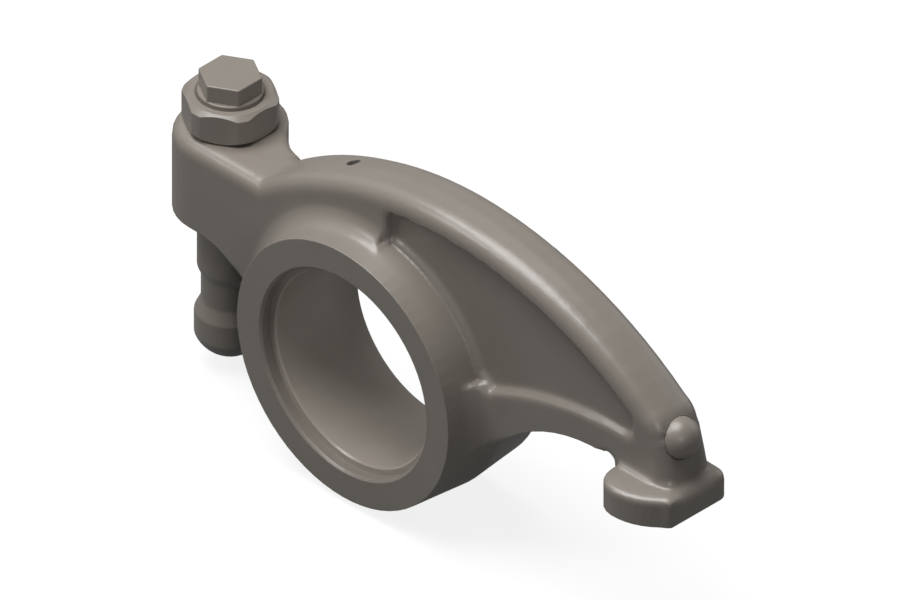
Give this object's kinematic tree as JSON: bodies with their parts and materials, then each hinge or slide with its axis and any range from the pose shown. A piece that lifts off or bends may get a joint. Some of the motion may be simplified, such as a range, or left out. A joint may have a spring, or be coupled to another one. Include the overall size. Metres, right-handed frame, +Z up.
{
  "type": "rocker arm",
  "caption": "Forged rocker arm with a bushed shaft bore, an adjusting screw with a lock nut at one end and a valve pad at the other.",
  "frame": {"origin": "on the axis of the shaft bore, in the middle plane of the arm", "axes": "+Y along the shaft bore, +Z up along the adjusting screw, +X from the bore towards the valve pad"},
  "size_m": [0.1559, 0.0324, 0.079],
  "materials": {
    "body_steel": "warm grey, smooth and matt",
    "bush": "warm grey, smooth and matt",
    "screw_steel": "warm grey, smooth and matt",
    "nut_steel": "warm grey, smooth and matt",
    "ball_steel": "warm grey, smooth and matt"
  },
  "bodies": {
    "rocker": {"rocker_body": "body_steel", "shaft_bush": "bush", "oil_plug_ball": "ball_steel"},
    "screw": {"adjusting_screw": "screw_steel"},
    "nut": {"lock_nut": "nut_steel"}
  },
  "joints": [
    {"name": "screw_travel", "type": "slide", "parent": "rocker", "child": "screw", "axis": [0, 0, 1], "range_m": [-0.004, 0.003]},
    {"name": "nut_turn", "type": "hinge", "parent": "rocker", "child": "nut", "pos_m": [-0.05328, 0.0052, 0.032], "axis": [0, 0, 1], "continuous": true}
  ]
}
